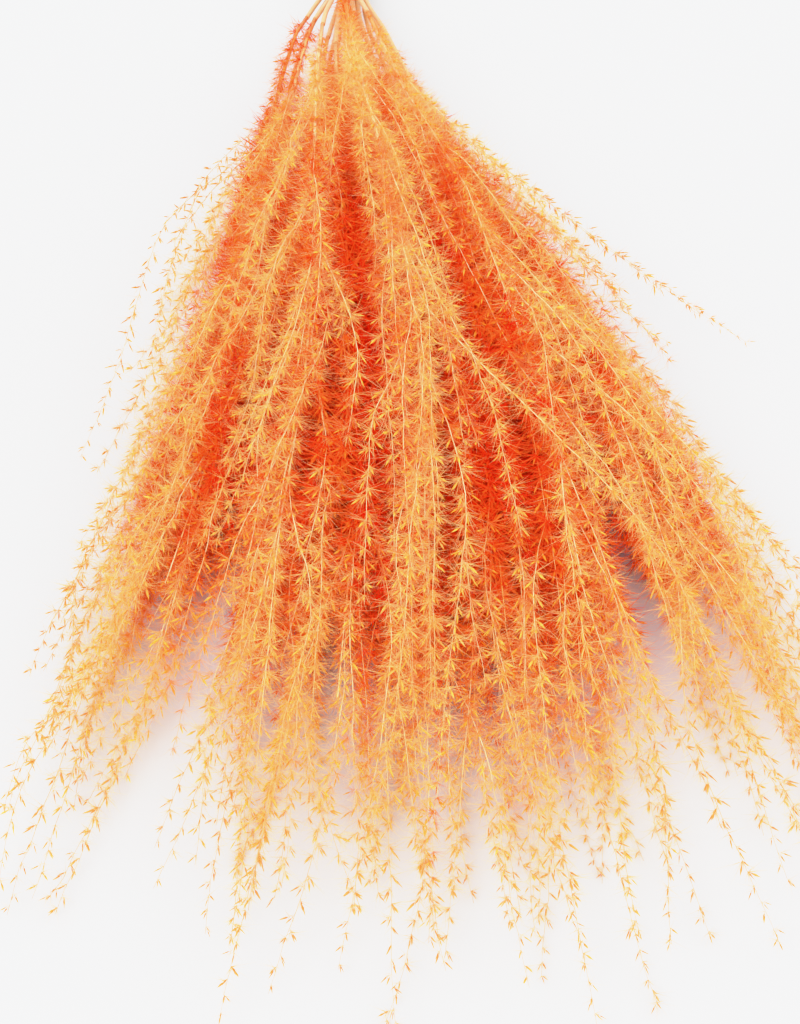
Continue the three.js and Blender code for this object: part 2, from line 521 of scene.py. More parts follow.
def chart_part(bm, verts, matrix, length, band):
    """Gives a new part, which stands along +Z, its chart places and material, and places it."""
    along_layer = bm.verts.layers.float["chart_u"]
    band_layer = bm.verts.layers.float["chart_v"]
    for vert in verts:
        angle = math.atan2(vert.co.y, vert.co.x)
        along = min(max(vert.co.z / length, 0), 1)
        vert[along_layer], vert[band_layer] = chart_places(along, angle, band)
        for face in vert.link_faces:
            face.material_index = PARTS.index(band)
    bmesh.ops.transform(bm, matrix=matrix, verts=verts)


def add_floret(bm, start, length, width, rows):
    """A pointed husk with four sides, from a height of start up."""
    made = bmesh.ops.create_uvsphere(bm, u_segments=4, v_segments=rows, radius=1)["verts"]
    bmesh.ops.translate(bm, vec=(0, 0, 1), verts=made)
    bmesh.ops.scale(bm, vec=(width / 2, width / 3, length / 2), verts=made)
    shoulder = [v for v in made if v.co.z > 0.6 * length and v.co.xy.length > 0.1 * width]
    bmesh.ops.scale(bm, vec=(0.6, 0.6, 1), verts=shoulder)
    chart_part(bm, made, Matrix.Translation((0, 0, start)), length, "floret")


def add_spike(bm, start, length, width, direction, band):
    """A thin cone with three sides, from start along a direction."""
    made = bmesh.ops.create_cone(
        bm, cap_ends=True, segments=3, radius1=width / 2, radius2=0, depth=length
    )["verts"]
    bmesh.ops.translate(bm, vec=(0, 0, length / 2), verts=made)
    turn = Vector(direction).to_track_quat("Z", "Y").to_matrix().to_4x4()
    chart_part(bm, made, Matrix.Translation(start) @ turn, length, band)


def spikelet(name, settings, rng, hairs, hair_share, hair_girth, stalk_share, materials):
    """One spikelet's object: a floret on its stalk, and the hairs round it."""
    bm = bmesh.new()
    bm.verts.layers.float.new("chart_u")
    bm.verts.layers.float.new("chart_v")
    stalk = settings.stalk_length * stalk_share
    top = stalk * 1.4  # inside the floret
    add_spike(bm, (0, 0, top), top, 0.5 * settings.raceme_width, (0.02, 0, -1), "axis")
    length = settings.floret_length * rng.uniform(0.9, 1.1)
    hidden = hairs > 6
    add_floret(bm, stalk, length, settings.floret_width, 2 if hidden else 3)
    for number in range(hairs):
        round_angle = number * GOLDEN_ANGLE + rng.uniform(-0.5, 0.5)
        lean = math.radians(rng.uniform(30, 85))
        direction = (
            math.sin(lean) * math.cos(round_angle),
            math.sin(lean) * math.sin(round_angle),
            math.cos(lean),
        )
        length = settings.hair_length * hair_share * rng.uniform(0.55, 1.0)
        start = (0, 0, stalk * rng.uniform(0.3, 1.0))
        add_spike(bm, start, length, settings.hair_width * hair_girth, direction, "hair")
    mesh = bpy.data.meshes.new(name)
    bm.to_mesh(mesh)
    bm.free()
    for material in materials:
        mesh.materials.append(material)
    return new_object(name, mesh)


# Growing a plume.


def hang(middle, offset, rng):
    """Gives a raceme's path its sway, its kinks and its sag."""
    run = np.linspace(0, 1, len(middle))[:, None]
    outward = np.interp(middle[-1, 0], (CAD_BOX[0].x, CAD_BOX[1].x), (-1, 1))
    high = smooth(20 * MM, 70 * MM, (middle + offset)[:, 2].max())
    slump = SLUMP * outward * high
    bend = rng.normal((slump, 0, -0.4 * abs(slump)), TIP_DRIFT) * run**2
    phase, pace = rng.uniform(0, 2 * math.pi, 3), rng.uniform(4, 9, 3)
    waves = rng.uniform(0.6, 3.4, 3) * MM * np.sin(run * pace + phase)
    kinks = rng.normal(0, KINK, (len(middle), 3))
    points = middle + offset + bend + (waves + kinks) * smooth(0, 0.3, run)
    points[:, 2] += rng.uniform(0, 5) * MM * np.sin(math.pi * run[:, 0])
    points[:, 2] -= rng.uniform(1, 9) * MM * run[:, 0] ** 2
    return inside_box(points)


def inside_box(points):
    """Draws in what would reach past the bundle's size, and keeps it over the table."""
    low = np.array(CAD_BOX[0]) - (0, TIP_ROOM, 0)
    high = np.array(CAD_BOX[1])
    for axis, soft in enumerate(EDGE_SOFTNESS):
        points[:, axis] = high[axis] - over(high[axis] - points[:, axis], soft)
        if axis < 2:
            points[:, axis] = low[axis] + over(points[:, axis] - low[axis], soft)
    points[:, 2] = over(points[:, 2], TABLE_SOFTNESS)
    return points


def stray(sections, leaves, ends, aside, up, soon, rng):
    """The path of a raceme that stands away from the others."""
    run = np.linspace(0, 1, RACEME_POINTS)
    share = lerp(leaves, ends, run)
    away = smooth(0, soon, run) if soon < 1 else run
    offset = np.outer(away, (aside * MM, 0, up * MM))
    waves = rng.uniform(0.4, 1.6, 3) * MM * np.sin(run[:, None] * rng.uniform(5, 9, 3))
    kinks = rng.normal(0, KINK, (RACEME_POINTS, 3))
    return inside_box(sections.middle(share) + offset + waves + kinks)


def over(distances, soft):
    """Distances under soft are pressed together, so that all stay above zero."""
    pressed = soft * np.exp((np.minimum(distances, soft) - soft) / soft)
    return np.where(distances < soft, pressed, distances)


def raceme(sections, rng, number, tress, settings):
    """The path of one raceme: it leaves the main axis, spreads, and hangs towards the tip."""
    order = (number + rng.uniform(0.1, 0.9)) / settings.racemes
    attach = lerp(*ATTACH, order**0.9)
    length = rng.uniform(settings.raceme_shortest, settings.raceme_longest)
    room = (sections.y[0] - CAD_BOX[0].y) / sections.length
    length = min(length, rng.uniform(TIP_SHARES[0], min(TIP_SHARES[1], room + 0.04)) - attach)
    run = np.linspace(0, 1, RACEME_POINTS)
    share = attach + length * run
    kept = np.clip(share, 0, 0.74)
    across = sections.read(sections.half_x, kept)
    up = sections.read(sections.half_z, kept)
    angle = tress[0] + rng.normal(0, 0.22) + rng.normal(0, 0.3) * run
    reach = (tress[1] + rng.normal(0, 0.08)) * smooth(-0.05, 0.5, run)
    reach = reach * lerp(0.5, 1.0, smooth(0.04, 0.5, share))
    offset = np.stack([np.cos(angle) * across * reach, 0 * run, np.sin(angle) * up * reach], -1)
    return hang(sections.middle(share), offset, rng)


def along_path(points, spacing, rng):
    """Points and directions at a spacing along a path."""
    steps = np.linalg.norm(np.diff(points, axis=0), axis=1)
    travelled = np.r_[0, np.cumsum(steps)]
    places = np.arange(spacing * 1.5, travelled[-1], spacing)
    places = places + rng.uniform(-0.25, 0.25, len(places)) * spacing

    def at(distances):
        return np.stack([np.interp(distances, travelled, column) for column in points.T], -1)

    direction = at(places + spacing) - at(places - spacing)
    direction /= np.linalg.norm(direction, axis=1)[:, None]
    return at(places), direction, places / travelled[-1]


def turns_towards(directions, spins):
    """Quaternions that take +Z to each direction, after a spin about +Z."""
    align = np.stack([1 + directions[:, 2], -directions[:, 1], directions[:, 0]])
    w, x, y = align / np.linalg.norm(align, axis=0)
    c, s = np.cos(spins / 2), np.sin(spins / 2)
    return np.stack([w * c, x * c + y * s, y * c - x * s, w * s], -1)


def spikelet_pairs(points, settings, rng):
    """Places, directions and sizes of a raceme's spikelets, in pairs on alternate sides."""
    middle, forward, share = along_path(points, settings.pair_spacing, rng)
    count = len(middle)
    side = np.cross(forward, rng.normal(size=3) * 0.2 + (0, 0, 1))
    side /= np.linalg.norm(side, axis=1)[:, None]
    lift = np.cross(side, forward)
    rows = []
    for member in range(2):
        angle = np.arange(count) * math.pi + rng.normal(0, 0.7, count) + member * 0.9
        outward = np.cos(angle)[:, None] * side + np.sin(angle)[:, None] * lift
        lean = np.radians(rng.uniform(22, 55, count))[:, None]
        direction = forward * np.cos(lean) + outward * np.sin(lean)
        size = rng.uniform(0.8, 1.12, count) * lerp(1.0, 0.72, smooth(0.7, 1, share))
        rows.append((middle, direction, size))
    return tuple(np.concatenate(column) for column in zip(*rows))


def dye_shift(rng):
    """What a whole raceme's tone differs by. Some took up more of the dye."""
    return rng.normal(0, 0.08) - (0.32 if rng.random() < 0.09 else 0)


def plan_plume(index, name, settings):
    """The paths and radii of one plume's axes, and its rows of spikelets: their places,
    directions and sizes, and how sparse they are."""
    rng = np.random.default_rng(PLAN_SEED + index)
    sections = SECTIONS[name]
    main = sections.middle(np.linspace(0, MAIN_END, MAIN_POINTS))
    widths = np.linspace(settings.axis_width, settings.raceme_width, len(main))
    paths = [(main, widths / 2)]
    rows = [(*spikelet_pairs(main, settings, rng), 0)]
    turn = rng.uniform(0, 2 * math.pi)
    tresses = [
        (turn + step * 2 * math.pi / settings.tresses, 1.1 * math.sqrt(rng.uniform(0.12, 1)))
        for step in range(settings.tresses)
    ]
    widths = settings.raceme_width * np.linspace(1, RACEME_TAPER, RACEME_POINTS)
    for number in range(settings.racemes):
        points = raceme(sections, rng, number, tresses[number % settings.tresses], settings)
        paths.append((points, widths / 2))
        rows.append((*spikelet_pairs(points, settings, rng), 0))
    for plume, *shape, kind in STRAYS:
        if plume == name:
            points = stray(sections, *shape, rng)
            paths.append((points, widths / 2))
            if kind != "bare":
                rows.append((*spikelet_pairs(points, settings, rng), kind == "sparse"))
    return paths, rows


def grow_plume(index, name, plan, light, groups, materials):
    """The racemes, spikelets and axes of one plume, as one object."""
    rng = np.random.default_rng(GROW_SEED + index)
    paths, rows = plan
    places, directions, sizes = (np.concatenate(column) for column in list(zip(*rows))[:3])
    shifts = [np.full(len(row[0]), dye_shift(rng)) for row in rows]
    bare = [np.full(len(row[0]), row[3]) for row in rows]
    # Painted light and shade: each spikelet's tone is the light that reaches it, shifted at random
    # for each raceme's dye.
    lit = light.tone(places)
    light_and_dye_tones = np.clip(lit + np.concatenate(shifts) + rng.normal(0, 0.05, len(places)), 0, 1)
    thin = smooth(0.72, 1.04, fan_share(places) + 0.26 * beside(places) ** 2)
    sparse = rng.random(len(places)) < 0.1 + 0.75 * thin + np.concatenate(bare)
    deep = lit < rng.uniform(0.2, 0.36, len(places))
    kinds = np.where(deep, DEEP, np.where(sparse, SPARSE, FLUFFY))
    variants = kinds * VARIANTS + rng.integers(0, VARIANTS, len(places))
    points = bpy.data.meshes.new(name + "_points")
    points.vertices.add(len(places))
    points.vertices.foreach_set("co", places.astype(np.float32).ravel())
    spins = rng.uniform(0, 2 * math.pi, len(places))
    set_numbers(points, "turn", "QUATERNION", turns_towards(directions, spins))
    set_numbers(points, "size", "FLOAT", sizes * lerp(1.5, 1.0, smooth(0.02, 0.3, lit)))
    set_numbers(points, "variant", "INT", variants.astype(np.int32))
    set_numbers(points, "tone", "FLOAT", light_and_dye_tones)
    # The axes get the painted light and shade of where they run.
    lines = [(path, radii, np.clip(light.tone(path), 0, 1)) for path, radii in paths]
    axes = new_object(name + "_axes", axes_mesh(name, lines, groups["tubes"], materials))
    scatter = new_object(name + "_scatter", points)
    modifier = scatter.modifiers.new("Scatter", "NODES")
    modifier.node_group = groups["scatter"]
    modifier[groups["scatter"].interface.items_tree["Axes"].identifier] = axes
    mesh = evaluated_mesh(scatter, name + "_grown")
    drop(axes)
    finish_plume_mesh(mesh)
    return new_object(name + "_grown", mesh)


def axes_mesh(name, paths, group, materials):
    """Thin closed tubes along the racemes, with their chart places."""
    sides = 3
    mesh = tubes(name, paths, sides, group)
    along = np.empty(len(mesh.vertices), np.float32)
    mesh.attributes["along"].data.foreach_get("value", along)
    angle = np.arange(len(along)) % sides * 2 * math.pi / sides
    u, v = chart_places(along, angle, "axis")
    set_numbers(mesh, "chart_u", "FLOAT", u)
    set_numbers(mesh, "chart_v", "FLOAT", v)
    for material in materials:
        mesh.materials.append(material)
    slots = mesh.attributes.new("material_index", "INT", "FACE")
    slot = PARTS.index("axis")
    slots.data.foreach_set("value", np.full(len(mesh.polygons), slot, np.int32))
    return mesh


def finish_plume_mesh(mesh):
    """Presses what reaches the table flat, and turns the chart numbers into the UV map."""
    count = len(mesh.vertices)
    co = np.empty(count * 3, np.float32)
    mesh.vertices.foreach_get("co", co)
    co = co.reshape(-1, 3)
    co[:, 2] = over(co[:, 2], HAIR_SOFTNESS)
    mesh.vertices.foreach_set("co", co.ravel())
    chart = {}
    for label in ("chart_u", "chart_v", "tone"):
        chart[label] = np.empty(count, np.float32)
        mesh.attributes[label].data.foreach_get("value", chart[label])
    corners = np.empty(len(mesh.loops), np.int32)
    mesh.loops.foreach_get("vertex_index", corners)
    # V carries the painted light and shade, within each part's band.
    v = chart["chart_v"] + BAND_LIGHT_SPAN * chart["tone"]
    uv = np.stack([chart["chart_u"], v], -1)[corners]
    mesh.uv_layers.new(name=UV_NAME).data.foreach_set("uv", uv.astype(np.float32).ravel())
    keep = {"position", UV_NAME, "material_index", "sharp_face"}
    for name in [attribute.name for attribute in mesh.attributes]:
        if name not in keep and not name.startswith("."):
            mesh.attributes.remove(mesh.attributes[name])
    mesh.update()


def scatter_group(spikelets):
    """A node group that puts the spikelets on the points and joins the axes to them."""
    group = bpy.data.node_groups.new("Scatter Spikelets", "GeometryNodeTree")
    face = group.interface
    face.new_socket("Points", in_out="INPUT", socket_type="NodeSocketGeometry")
    face.new_socket("Axes", in_out="INPUT", socket_type="NodeSocketObject")
    face.new_socket("Plume", in_out="OUTPUT", socket_type="NodeSocketGeometry")
    nodes, link = group.nodes, group.links.new
    given = nodes.new("NodeGroupInput")
    result = nodes.new("NodeGroupOutput")
    kinds = nodes.new("GeometryNodeCollectionInfo")
    kinds.inputs["Collection"].default_value = spikelets
    kinds.inputs["Separate Children"].default_value = True
    kinds.inputs["Reset Children"].default_value = True
    place = nodes.new("GeometryNodeInstanceOnPoints")
    place.inputs["Pick Instance"].default_value = True
    link(given.outputs["Points"], place.inputs["Points"])
    link(kinds.outputs[0], place.inputs["Instance"])
    for name, kind, socket in (
        ("variant", "INT", "Instance Index"),
        ("turn", "QUATERNION", "Rotation"),
        ("size", "FLOAT", "Scale"),
    ):
        read = nodes.new("GeometryNodeInputNamedAttribute")
        read.data_type = kind
        read.inputs["Name"].default_value = name
        link(read.outputs["Attribute"], place.inputs[socket])
    axes = nodes.new("GeometryNodeObjectInfo")
    link(given.outputs["Axes"], axes.inputs["Object"])
    join = nodes.new("GeometryNodeJoinGeometry")
    link(axes.outputs["Geometry"], join.inputs[0])
    link(place.outputs["Instances"], join.inputs[0])
    realize = nodes.new("GeometryNodeRealizeInstances")
    link(join.outputs[0], realize.inputs[0])
    link(realize.outputs[0], result.inputs[0])
    return group


# Materials.


def new_material(name):
    """A material with no nodes yet, its nodes, and the function that links them."""
    material = bpy.data.materials.new(name)
    material.use_nodes = True
    nodes = material.node_tree.nodes
    nodes.clear()
    return material, nodes, material.node_tree.links.new


def colour(value):
    """Red, green and blue, with a full alpha."""
    return (*value, 1.0)


def chart_group():
    """Reads the colour chart: how far along a part a place is, and the light and shade painted on
    it.
    """
    group = bpy.data.node_groups.new("Plume Chart", "ShaderNodeTree")
    face = group.interface
    face.new_socket("Chart", in_out="INPUT", socket_type="NodeSocketVector")
    face.new_socket("Band", in_out="INPUT", socket_type="NodeSocketFloat")
    face.new_socket("Along", in_out="OUTPUT", socket_type="NodeSocketFloat")
    face.new_socket("Tone", in_out="OUTPUT", socket_type="NodeSocketFloat")
    nodes, link = group.nodes, group.links.new
    given = nodes.new("NodeGroupInput")
    result = nodes.new("NodeGroupOutput")
    split = nodes.new("ShaderNodeSeparateXYZ")
    link(given.outputs["Chart"], split.inputs[0])
    along = nodes.new("ShaderNodeMapRange")
    along.inputs["From Min"].default_value = CHART_START
    along.inputs["From Max"].default_value = CHART_END
    link(split.outputs["X"], along.inputs["Value"])
    above = nodes.new("ShaderNodeMath")
    above.operation = "SUBTRACT"
    link(split.outputs["Y"], above.inputs[0])
    link(given.outputs["Band"], above.inputs[1])
    tone = nodes.new("ShaderNodeMapRange")
    tone.inputs["From Max"].default_value = BAND_LIGHT_SPAN
    link(above.outputs[0], tone.inputs["Value"])
    speck = nodes.new("ShaderNodeTexNoise")
    speck.inputs["Scale"].default_value = 34
    link(given.outputs["Chart"], speck.inputs["Vector"])
    vary = nodes.new("ShaderNodeMapRange")
    vary.inputs["To Min"].default_value = -0.22
    vary.inputs["To Max"].default_value = 0.22
    link(speck.outputs["Fac"], vary.inputs["Value"])
    moved = nodes.new("ShaderNodeMath")
    moved.use_clamp = True
    link(along.outputs[0], moved.inputs[0])
    link(vary.outputs[0], moved.inputs[1])
    link(moved.outputs[0], result.inputs["Along"])
    link(tone.outputs[0], result.inputs["Tone"])
    return group


def painted_light_ramp(nodes, colours):
    """A ramp over the painted light and shade, with a colour for each of its stops."""
    ramp = nodes.new("ShaderNodeValToRGB")
    stops = ramp.color_ramp.elements
    while len(stops) < len(PAINTED_LIGHT_STOPS):
        stops.new(0.5)
    for stop, tone, value in zip(stops, PAINTED_LIGHT_STOPS, colours):
        stop.position = tone
        stop.color = colour(value)
    return ramp


def plume_material(part, group, settings):
    """A dry part of a plume that lets some light through, with its colours at root and tip.
    The colours carry painted light and shade.
    """
    roughness, through = FINISHES[part]
    material, nodes, link = new_material(f"plume_{part}")
    place = nodes.new("ShaderNodeUVMap")
    place.uv_map = UV_NAME
    chart = nodes.new("ShaderNodeGroup")
    chart.node_tree = group
    chart.inputs["Band"].default_value = BANDS[part]
    link(place.outputs[0], chart.inputs["Chart"])
    tint = nodes.new("ShaderNodeMix")
    tint.data_type = "RGBA"
    link(chart.outputs["Along"], tint.inputs["Factor"])
    for socket, end in (("A", "root"), ("B", "tip")):
        ramp = painted_light_ramp(nodes, getattr(settings, f"{part}_{end}"))
        link(chart.outputs["Tone"], ramp.inputs[0])
        link(ramp.outputs["Color"], tint.inputs[socket])
    result = tint.outputs["Result"]
    shader = nodes.new("ShaderNodeBsdfPrincipled")
    shader.inputs["Roughness"].default_value = roughness
    shader.inputs["Specular IOR Level"].default_value = 0.25
    back = nodes.new("ShaderNodeBsdfTranslucent")
    mix = nodes.new("ShaderNodeMixShader")
    mix.inputs[0].default_value = through
    out = nodes.new("ShaderNodeOutputMaterial")
    link(result, shader.inputs["Base Color"])
    link(result, back.inputs["Color"])
    link(shader.outputs[0], mix.inputs[1])
    link(back.outputs[0], mix.inputs[2])
    link(mix.outputs[0], out.inputs["Surface"])
    return material


def streak_group():
    """Fine streaks of two colours, as in dry fibre. It is built once, for every material."""
    name = "Dry Streaks"
    if name in bpy.data.node_groups:
        return bpy.data.node_groups[name]
    group = bpy.data.node_groups.new(name, "ShaderNodeTree")
    face = group.interface
    face.new_socket("Place", in_out="INPUT", socket_type="NodeSocketVector")
    face.new_socket("Stretch", in_out="INPUT", socket_type="NodeSocketVector")
    face.new_socket("Dark", in_out="INPUT", socket_type="NodeSocketColor")
    face.new_socket("Light", in_out="INPUT", socket_type="NodeSocketColor")
    face.new_socket("Colour", in_out="OUTPUT", socket_type="NodeSocketColor")
    nodes, link = group.nodes, group.links.new
    given = nodes.new("NodeGroupInput")
    result = nodes.new("NodeGroupOutput")
    stretch = nodes.new("ShaderNodeVectorMath")
    stretch.operation = "MULTIPLY"
    noise = nodes.new("ShaderNodeTexNoise")
    noise.inputs["Scale"].default_value = 1.0
    noise.inputs["Detail"].default_value = 4.0
    share = nodes.new("ShaderNodeMapRange")
    share.inputs["From Min"].default_value = 0.3
    share.inputs["From Max"].default_value = 0.68
    mix = nodes.new("ShaderNodeMix")
    mix.data_type = "RGBA"
    link(given.outputs["Place"], stretch.inputs[0])
    link(given.outputs["Stretch"], stretch.inputs[1])
    link(stretch.outputs[0], noise.inputs["Vector"])
    link(noise.outputs["Fac"], share.inputs["Value"])
    link(share.outputs[0], mix.inputs["Factor"])
    link(given.outputs["Dark"], mix.inputs["A"])
    link(given.outputs["Light"], mix.inputs["B"])
    link(mix.outputs["Result"], result.inputs["Colour"])
    return group


def streaked_material(name, dark, light, roughness, stretch, dye=None):
    """Dry fibre with fine streaks. A dye, if given, takes over towards the plumes."""
    material, nodes, link = new_material(name)
    place = nodes.new("ShaderNodeTexCoord")
    streaks = nodes.new("ShaderNodeGroup")
    streaks.node_tree = streak_group()
    streaks.inputs["Stretch"].default_value = stretch
    streaks.inputs["Dark"].default_value = colour(dark)
    streaks.inputs["Light"].default_value = colour(light)
    shader = nodes.new("ShaderNodeBsdfPrincipled")
    shader.inputs["Roughness"].default_value = roughness
    out = nodes.new("ShaderNodeOutputMaterial")
    link(place.outputs["Object"], streaks.inputs["Place"])
    link(shader.outputs[0], out.inputs["Surface"])
    result = streaks.outputs["Colour"]
    if dye is not None:
        split = nodes.new("ShaderNodeSeparateXYZ")
        near = nodes.new("ShaderNodeMapRange")
        near.inputs["From Min"].default_value = CAD_BOX[1].y - DYE_START
        near.inputs["From Max"].default_value = CAD_BOX[1].y - DYE_FULL
        near.inputs["To Max"].default_value = DYE_MOST
        mix = nodes.new("ShaderNodeMix")
        mix.data_type = "RGBA"
        mix.inputs["B"].default_value = colour(dye)
        link(place.outputs["Object"], split.inputs[0])
        link(split.outputs["Y"], near.inputs["Value"])
        link(near.outputs[0], mix.inputs["Factor"])
        link(result, mix.inputs["A"])
        result = mix.outputs["Result"]
    link(result, shader.inputs["Base Color"])
    return material


# Operators.


class PAMPAS_OT_stage(bpy.types.Operator):
    """Make the table, the soft studio light and the camera"""

    bl_idname = "pampas.stage"
    bl_label = "Stage"

    table_size = 12  # from its middle to its edge, in metres
    daylight = (1.0, 0.99, 0.985)
    daylight_strength = 1.6
    suns = (  # name, where it shines from, its width in degrees, its strength
        ("key", (-0.7, -0.9, 1.6), 39, 2.4),
        ("fill", (1.2, 0.2, 1.3), 48, 0.8),
    )
    aim = (0.0285, 0.205, 0.04)  # from the tie's middle, the longest tip and the table
    shoulder = ((0.55, 0.55), (0.9, 0.8), (1.3, 0.9))  # brightness before and after
    shoulder_end = (3, 0.94)

    def execute(self, context):
        settings = context.scene.pampas_stage
        self.make_table(settings)
        self.make_light(context)
        self.make_camera(context, settings)
        self.soften_highlights(context.scene.view_settings)
        return {"FINISHED"}

    def make_table(self, settings):
        bm = bmesh.new()
        bmesh.ops.create_grid(bm, x_segments=1, y_segments=1, size=self.table_size)
        mesh = bpy.data.meshes.new("table")
        bm.to_mesh(mesh)
        bm.free()
        table = new_object("table", mesh)
        material, nodes, link = new_material("table")
        shader = nodes.new("ShaderNodeBsdfPrincipled")
        shader.inputs["Base Color"].default_value = colour(settings.floor)
        shader.inputs["Roughness"].default_value = 0.7
        shader.inputs["Specular IOR Level"].default_value = 0.2
        out = nodes.new("ShaderNodeOutputMaterial")
        link(shader.outputs[0], out.inputs["Surface"])
        mesh.materials.append(material)

    def make_light(self, context):
        world = bpy.data.worlds.new("studio")
        world.use_nodes = True
        background = world.node_tree.nodes["Background"]
        background.inputs["Color"].default_value = colour(self.daylight)
        background.inputs["Strength"].default_value = self.daylight_strength
        context.scene.world = world
        for name, place, width, strength in self.suns:
            sun = bpy.data.lights.new(name, "SUN")
            sun.angle = math.radians(width)
            sun.energy = strength
            obj = new_object(name, sun)
            obj.location = place
            obj.rotation_euler = Vector(place).to_track_quat("Z", "Y").to_euler()

    def make_camera(self, context, settings):
        data = bpy.data.cameras.new("camera")
        data.lens = settings.lens
        camera = new_object("camera", data)
        low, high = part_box("tie")
        target = Vector(((low.x + high.x) / 2, CAD_BOX[0].y, 0)) + Vector(self.aim)
        rise = settings.elevation
        back = Vector((0, -math.cos(rise), math.sin(rise)))
        camera.location = target + back * settings.distance
        camera.rotation_mode = "QUATERNION"
        camera.rotation_quaternion = back.to_track_quat("Z", "Y")
        context.scene.camera = camera

    def soften_highlights(self, view):
        """A soft shoulder, so that the table stays just under white."""
        view.view_transform = "Standard"
        view.use_curve_mapping = True
        curves = view.curve_mapping
        curves.clip_max_x = self.shoulder_end[0]
        combined = curves.curves[3]
        combined.points[-1].location = self.shoulder_end
        for place in self.shoulder:
            combined.points.new(*place)
        curves.update()


class PAMPAS_OT_plumes(bpy.types.Operator):
    """Grow each plume in the place of its solid"""

    bl_idname = "pampas.plumes"
    bl_label = "Plumes"

    def execute(self, context):
        settings = context.scene.pampas_plumes
        chart = chart_group()
        materials = [plume_material(part, chart, settings) for part in PARTS]
        kinds = self.make_spikelets(context, settings, materials)
        groups = {"scatter": scatter_group(kinds), "tubes": tube_group()}
        plans = [plan_plume(index, name, settings) for index, name in enumerate(PLUMES)]
        light = Light(np.concatenate([row[0] for _, rows in plans for row in rows]))
        for index, (name, plan) in enumerate(zip(PLUMES, plans)):
            piece = grow_plume(index, name, plan, light, groups, materials)
            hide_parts(name)
            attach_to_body(piece, "root")
        for obj in list(kinds.objects):
            drop(obj)
        bpy.data.collections.remove(kinds)
        for group in groups.values():
            bpy.data.node_groups.remove(group)
        return {"FINISHED"}

    def make_spikelets(self, context, settings, materials):
        """A collection of spikelets, with the variants of each kind in a row."""
        kinds = bpy.data.collections.new("spikelets")
        rng = np.random.default_rng(SPIKELET_SEED)
        sets = [hairs for kind in (FLUFFY, DEEP, SPARSE) for hairs in HAIR_SETS[kind]]
        made = [(*hairs, stalk) for hairs in sets for stalk in STALK_SHARES]
        for number, shape in enumerate(made):
            obj = spikelet(f"spikelet_{number:02d}", settings, rng, *shape, materials)
            context.scene.collection.objects.unlink(obj)
            kinds.objects.link(obj)
        return kinds


class PAMPAS_OT_stems(bpy.types.Operator):
    """Make the stems round, with a joint on each and a hollow at the cut end"""

    bl_idname = "pampas.stems"
    bl_label = "Stems"

    points = 64  # along a stem
    joint = (0.16, 0.012)  # how far it stands out of the stem, and its length's share
    joint_places = (0.3, 0.6)  # shares of the stem between which its joint lies
    taper = 0.92  # girth at the plume as a share of the cut end's
    pith = ((0.62, 0.44, 0.24), (0.86, 0.72, 0.48))
    rim = 0.38  # of the stem's radius

    def execute(self, context):
        settings = context.scene.pampas_stems
        dark = [c * 0.62 for c in settings.straw]
        materials = (
            streaked_material("stem", dark, settings.straw, 0.45, (1400, 24, 1400), settings.tint),
            streaked_material("pith", *self.pith, 0.9, (900, 60, 900)),
        )
        group = tube_group()
        bulge, spread = self.joint
        for index, name in enumerate(STEMS):
            rng = np.random.default_rng(STEM_SEED + index)
            sections = SECTIONS[name]
            share = np.linspace(0, 1, self.points)
            from_joint = share - rng.uniform(*self.joint_places)
            girth = 1 + bulge * np.exp(-((from_joint / spread) ** 2))
            radii = girth * lerp(1.0, self.taper, share) * float(np.median(sections.half_x))
            path = (sections.middle(share), radii, 0 * radii)
            mesh = tubes(name + "_round", [path], settings.sides, group)
            self.hollow_cut(mesh, radii[0], settings.hollow)
            for material in materials:
                mesh.materials.append(material)
            piece = new_object(name + "_round", mesh)
            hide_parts(name)
            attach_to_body(piece, "root")
        bpy.data.node_groups.remove(group)
        return {"FINISHED"}

    def hollow_cut(self, mesh, radius, hollow):
        """Leaves a rim at the cut end, and sinks the pith inside it."""
        bm = bmesh.new()
        bm.from_mesh(mesh)
        bmesh.ops.recalc_face_normals(bm, faces=bm.faces[:])
        for face in bm.faces:
            face.smooth = len(face.verts) == 4
        ends = [face for face in bm.faces if len(face.verts) > 4]
        cut = max(ends, key=lambda face: face.calc_center_median().y)
        thickness = self.rim * radius
        rim = bmesh.ops.inset_region(bm, faces=[cut], thickness=thickness, depth=0)["faces"]
        sunk = bmesh.ops.extrude_discrete_faces(bm, faces=[cut])["faces"][0]
        bmesh.ops.translate(bm, vec=(0, -hollow, 0), verts=sunk.verts)
        for face in {*rim, sunk, *(face for edge in sunk.edges for face in edge.link_faces)}:
            face.material_index = 1
            face.smooth = False
        bm.to_mesh(mesh)
        bm.free()


